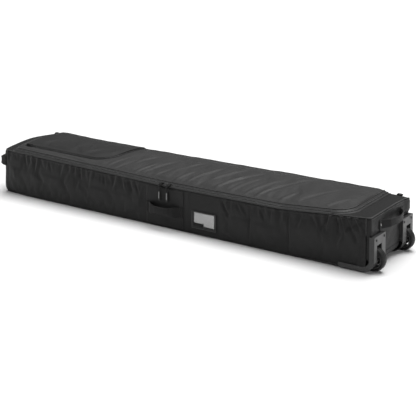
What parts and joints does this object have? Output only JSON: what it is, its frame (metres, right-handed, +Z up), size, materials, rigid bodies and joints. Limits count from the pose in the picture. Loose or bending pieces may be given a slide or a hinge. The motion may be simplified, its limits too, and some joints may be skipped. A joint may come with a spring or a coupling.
{
  "type": "snowboard bag",
  "caption": "Long padded snowboard bag with roller wheels at one end, a zipped hinged lid, an outer pocket and webbing handles on the side and both ends.",
  "frame": {"origin": "on the floor under the middle of the bag, halfway between its end seams and its side walls", "axes": "+X towards the wheel end, -Y towards the side with the carry handle, +Z up"},
  "size_m": [1.808, 0.3656, 0.2105],
  "materials": {
    "shell_fabric": "matte woven polyester, coated inside",
    "lid_fabric": "matte woven polyester",
    "lining_foam": "closed-cell padding under grey lining",
    "webbing": "woven nylon webbing",
    "zip_tape": "woven tape with a nylon coil",
    "zip_metal": "black lacquered",
    "pull_cord": "braided cord",
    "pull_grip": "moulded grip",
    "housing_plastic": "fine-textured moulding",
    "board_plastic": "sheet",
    "buckle_plastic": "moulded",
    "tyre": "solid urethane",
    "hub_plastic": "moulded",
    "steel": "plated",
    "black_screw": "black oxide",
    "clear_pane": "clear flexible sheet",
    "card": "plain card"
  },
  "bodies": {
    "shell": {"bottom_panel": "shell_fabric", "front_wall": "shell_fabric", "rear_wall": "shell_fabric", "tail_wall": "shell_fabric", "wheel_end_wall": "shell_fabric", "tail_top_panel": "shell_fabric", "wheel_end_top_panel": "shell_fabric", "base_foam": "lining_foam", "front_foam": "lining_foam", "rear_foam": "lining_foam", "tail_foam": "lining_foam", "end_stiffener": "board_plastic", "base_board": "board_plastic", "piping": "webbing", "handle_panel": "webbing", "carry_handle_ends": "webbing", "tow_handle_anchors": "webbing", "tail_handle_anchors": "webbing", "zip_end_tabs": "webbing", "board_straps": "webbing", "id_window_frame": "webbing", "body_zip_tape": "zip_tape", "body_zip_coil": "zip_tape", "wheel_housing_front": "housing_plastic", "wheel_housing_rear": "housing_plastic", "strap_sockets": "buckle_plastic", "axle_front": "steel", "axle_rear": "steel", "wheel_spacers": "steel", "tow_handle_rivets": "steel", "housing_screws": "black_screw", "id_window_pane": "clear_pane"},
    "lid": {"lid_panel": "lid_fabric", "lid_foam": "lining_foam", "lid_zip_tape": "zip_tape", "lid_zip_coil": "zip_tape", "lid_hinge_strip": "lid_fabric", "pocket_panel": "lid_fabric", "pocket_zip_tape": "zip_tape"},
    "pocket_slider": {"pocket_slider": "zip_metal"},
    "pocket_pull": {"pocket_pull": "zip_metal"},
    "slider_tail": {"zip_slider_tail": "zip_metal"},
    "slider_wheel": {"zip_slider_wheel": "zip_metal"},
    "pull_tail": {"zip_pull_tail_cord": "pull_cord", "zip_pull_tail_grip": "pull_grip"},
    "pull_wheel": {"zip_pull_wheel_cord": "pull_cord", "zip_pull_wheel_grip": "pull_grip"},
    "carry_handle": {"carry_handle_strap": "webbing", "carry_handle_grip": "webbing"},
    "tow_handle": {"tow_handle_strap": "webbing"},
    "tail_handle": {"tail_handle_strap": "webbing"},
    "wheel_front": {"wheel_front_tyre": "tyre", "wheel_front_hub": "hub_plastic", "wheel_front_bearings": "steel"},
    "wheel_rear": {"wheel_rear_tyre": "tyre", "wheel_rear_hub": "hub_plastic", "wheel_rear_bearings": "steel"},
    "id_card": {"id_card": "card"},
    "strap_plug_tail": {"strap_plug_tail": "buckle_plastic"},
    "strap_plug_wheel": {"strap_plug_wheel": "buckle_plastic"}
  },
  "joints": [
    {"name": "lid_open", "type": "hinge", "parent": "shell", "child": "lid", "pos_m": [0, 0.165, 0.19], "axis": [-1, 0, 0], "range_deg": [0, 170]},
    {"name": "zip_tail_slide", "type": "slide", "parent": "shell", "child": "slider_tail", "axis": [-0.9996, 0, 0.0282], "range_m": [0, 0.745]},
    {"name": "zip_wheel_slide", "type": "slide", "parent": "shell", "child": "slider_wheel", "axis": [1, 0, 0], "range_m": [0, 0.47]},
    {"name": "pull_tail_swing", "type": "hinge", "parent": "slider_tail", "child": "pull_tail", "pos_m": [-0.016, -0.173, 0.15945], "axis": [-1, 0, 0], "range_deg": [0, 170]},
    {"name": "pull_wheel_swing", "type": "hinge", "parent": "slider_wheel", "child": "pull_wheel", "pos_m": [0.02, -0.173, 0.159], "axis": [-1, 0, 0], "range_deg": [0, 170]},
    {"name": "pocket_zip_slide", "type": "slide", "parent": "lid", "child": "pocket_slider", "axis": [0.9999, 0, -0.0152], "range_m": [0, 0.33]},
    {"name": "pocket_pull_swing", "type": "hinge", "parent": "pocket_slider", "child": "pocket_pull", "pos_m": [-0.778, -0.098, 0.20773], "axis": [0, -1, 0], "range_deg": [0, 170]},
    {"name": "carry_handle_lift", "type": "hinge", "parent": "shell", "child": "carry_handle", "pos_m": [0.004, -0.1674, 0.072], "axis": [-1, 0, 0], "range_deg": [-40, 55]},
    {"name": "tow_handle_lift", "type": "hinge", "parent": "shell", "child": "tow_handle", "pos_m": [0.8504, 0, 0.149], "axis": [0, -1, 0], "range_deg": [-45, 45]},
    {"name": "tail_handle_lift", "type": "hinge", "parent": "shell", "child": "tail_handle", "pos_m": [-0.852, 0, 0.138], "axis": [0, 1, 0], "range_deg": [-30, 30]},
    {"name": "wheel_front_spin", "type": "hinge", "parent": "shell", "child": "wheel_front", "pos_m": [0.844, -0.1275, 0.042], "axis": [0, 1, 0], "continuous": true},
    {"name": "wheel_rear_spin", "type": "hinge", "parent": "shell", "child": "wheel_rear", "pos_m": [0.844, 0.1275, 0.042], "axis": [0, 1, 0], "continuous": true},
    {"name": "id_card_slide", "type": "slide", "parent": "shell", "child": "id_card", "axis": [0, 0, 1], "range_m": [0, 0.05]},
    {"name": "strap_plug_tail_slide", "type": "slide", "parent": "shell", "child": "strap_plug_tail", "axis": [0, -1, 0], "range_m": [0, 0.03]},
    {"name": "strap_plug_wheel_slide", "type": "slide", "parent": "shell", "child": "strap_plug_wheel", "axis": [0, -1, 0], "range_m": [0, 0.03]}
  ]
}
